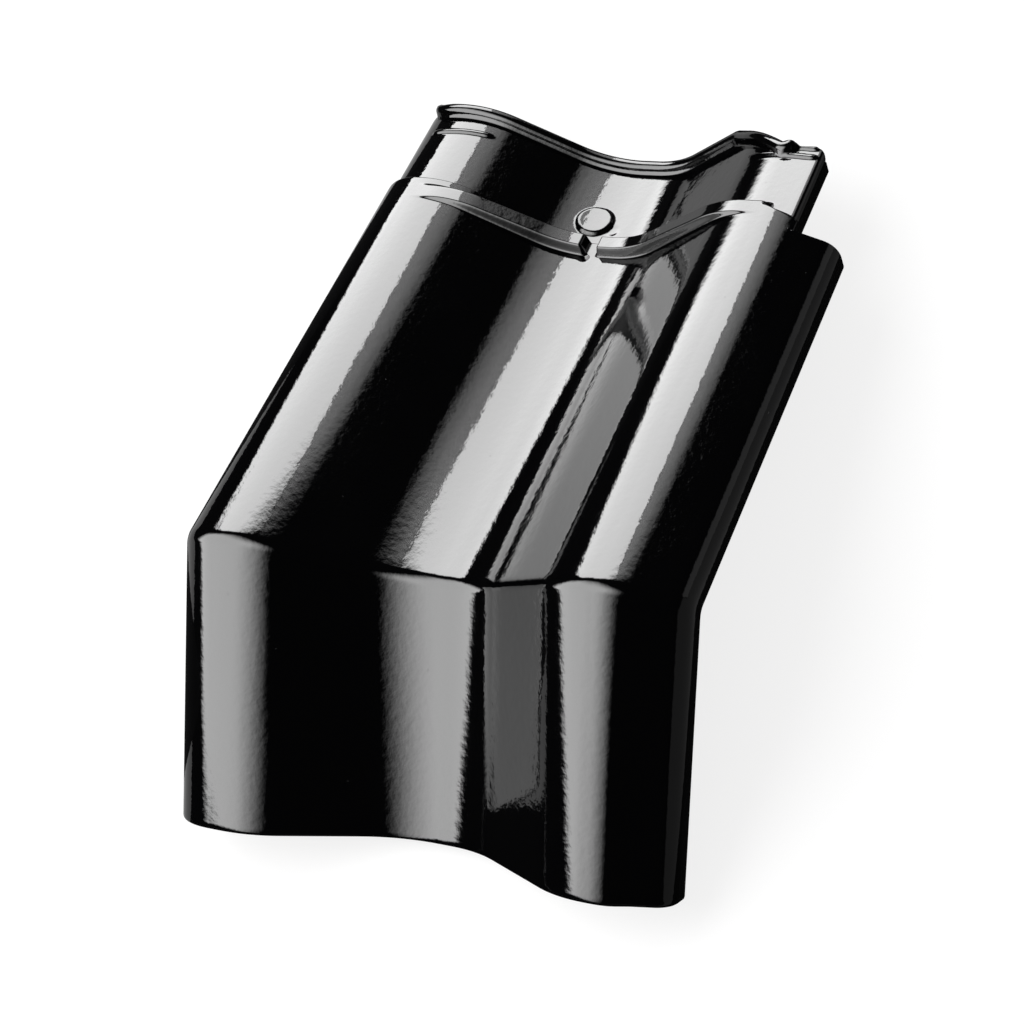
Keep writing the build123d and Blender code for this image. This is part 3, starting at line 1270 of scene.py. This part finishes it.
    @staticmethod
    def fade_group() -> bpy.types.NodeTree:
        """A node group: 1 between two places on a line, with a soft fade at each end.

        Returns:
            The group.
        """
        numbers = ("Place", "Low", "High", "Low Fade", "High Fade")
        group, n, given, share = new_group("faded_band", numbers, "Share", vector=False)
        ends = []
        for near, far, width in (("Place", "Low", "Low Fade"), ("High", "Place", "High Fade")):
            inside = n.math("SUBTRACT", given[near], given[far])
            t = n.math("ADD", n.math("DIVIDE", inside, given[width]), 0.5, clamp=True)
            ends.append(n.ramp(t, 0.0, 1.0))
        n.link(n.math("MULTIPLY", *ends), share)
        return group

    @staticmethod
    def mirrored_only(piece: bpy.types.Object) -> None:
        """Lets a piece of the stage be seen in reflections and nowhere else."""
        piece.visible_camera = False
        piece.visible_diffuse = False
        piece.visible_shadow = False
        piece.visible_transmission = False
        piece.visible_volume_scatter = False

    def tent(self) -> tuple[Points, Faces]:
        """A dark tent round the tile.

        Formula: a half sphere, radius * (cos e sin a, cos e cos a, sin e).

        Returns:
            Its vertices and faces.
        """
        around, up = self.TENT_COUNTS
        turn, rise = np.linspace(0, 2 * math.pi, around), np.linspace(0, math.pi / 2, up)
        a, e = np.meshgrid(turn, rise, indexing="ij")
        ball = np.stack([np.cos(e) * np.sin(a), np.cos(e) * np.cos(a), np.sin(e)], axis=2)
        number = np.arange(around * up).reshape(around, up)
        near, far = number[:-1], number[1:]
        quads = np.stack([near[:, :-1], far[:, :-1], far[:, 1:], near[:, 1:]], axis=2)
        return self.TENT_RADIUS * ball.reshape(-1, 3), quads.reshape(-1, 4).tolist()

    def reflection_sheets(self) -> None:
        """The dark tent, and sheets on the floor and beside the tile that paint reflected shade and
        light, each glowing at an even level.
        """
        made = [("dark_tent", self.TENT_LEVEL, *self.tent())]
        square = [[0, 1, 2, 3]]
        for name, level, height, outline in self.FLOOR_REFLECTION_SHEETS:
            made.append((name, level, np.array([(x, y, height) for x, y in outline]), square))
        for name, level, at_x, outline in self.UPRIGHT_REFLECTION_SHEETS:
            made.append((name, level, np.array([(at_x, y, z) for y, z in outline]), square))
        for name, level, points, faces in made:
            piece = make_piece(name, points, faces)
            material, n = new_material(name)
            # Each sheet glows at its level and is seen only in reflections: a painted reflection of
            # shade, or of pale light for the left floor sheet.
            n.finish(n.glow(level))
            piece.data.materials.append(material)
            self.mirrored_only(piece)

    def lights(self) -> None:
        """The glowing panels, and a soft lamp that gives the plain light and the shadow."""
        fade = self.fade_group()
        for panel in self.PANELS:
            self.mirrored_only(panel.build(fade))
        data = bpy.data.lights.new("soft_lamp", "AREA")
        data.shape = "DISK"
        data.size = self.LAMP_SIZE
        data.energy = self.LAMP_POWER
        lamp = bpy.data.objects.new("soft_lamp", data)
        way = Panel.heading(self.LAMP_AZIMUTH, self.LAMP_ELEVATION)
        turn = way.to_track_quat("Z", "Y").to_matrix().to_4x4()
        lamp.matrix_world = Matrix.Translation(way * self.LAMP_DISTANCE) @ turn
        lamp.visible_glossy = False
        bpy.context.scene.collection.objects.link(lamp)


def main() -> None:
    """Builds the tile, dresses it and sets up the studio."""
    logging.basicConfig(level=logging.INFO, format="%(name)s: %(message)s")
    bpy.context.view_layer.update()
    sizes = TileSizes()
    low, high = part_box("verge_tile")
    standing = Standing(sizes, low, high)
    points, faces, bare = TileShell(sizes, HeadMarks()).build()
    for nib_points, nib_faces in Nibs(sizes).build():
        faces += [[v + len(points) for v in face] for face in nib_faces]
        points = np.concatenate([points, nib_points])
        bare = np.concatenate([bare, np.ones(len(nib_points))])
    tile = make_piece("glazed_tile", standing.place(points), faces, {"bare": bare})
    tile.data.materials.append(GlazedClay().build(SurfaceGroups()))
    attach(tile, "root")
    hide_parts("verge_tile")
    bpy.context.scene.view_settings.view_transform = "Standard"
    studio = Studio(standing)
    studio.camera()
    studio.floor()
    studio.world()
    studio.reflection_sheets()
    studio.lights()


if __name__ == "__main__":
    main()
